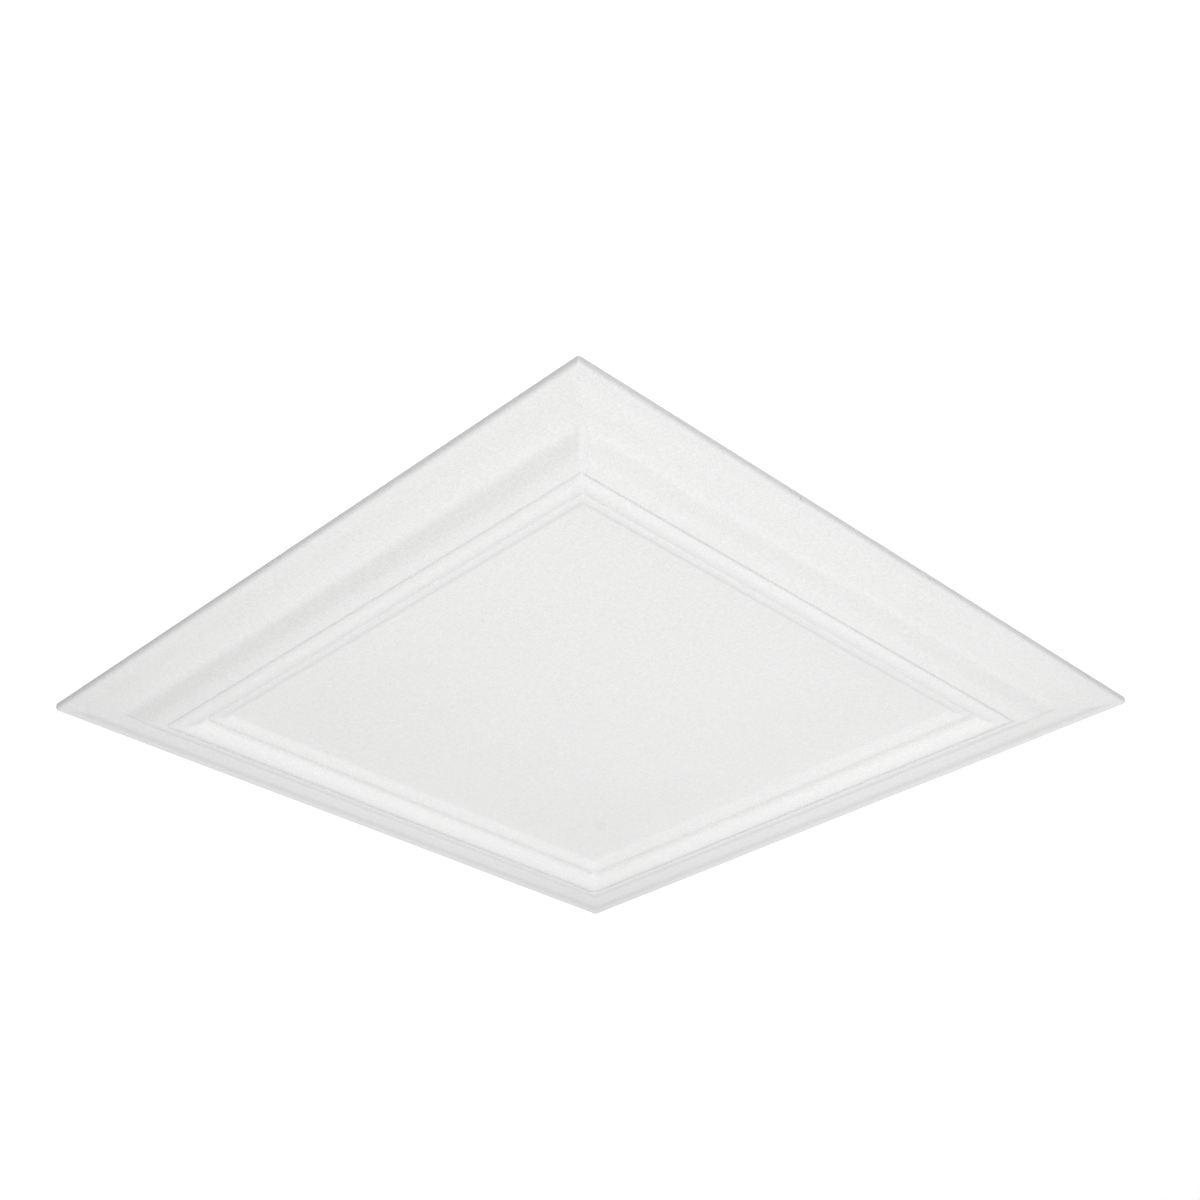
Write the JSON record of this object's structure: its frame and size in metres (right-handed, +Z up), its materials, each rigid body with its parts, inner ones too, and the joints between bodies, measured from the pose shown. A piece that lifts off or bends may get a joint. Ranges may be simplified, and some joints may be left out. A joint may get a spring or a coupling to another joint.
{
  "type": "polystyrene ceiling tile",
  "caption": "Square white polystyrene foam ceiling tile with a mitred moulded frame of border, ovolo, bead and inner thumb around a flat panel, glued up by its flat back.",
  "frame": {"origin": "centre of the flat back face, on the floor", "axes": "+Z up, out of the decorated face; X and Y along the tile's sides"},
  "size_m": [0.5, 0.5, 0.0185],
  "materials": {
    "white_foam": "matt white expanded polystyrene with a fine moulded skin"
  },
  "bodies": {
    "root": {"ceiling_tile": "white_foam"}
  },
  "joints": []
}
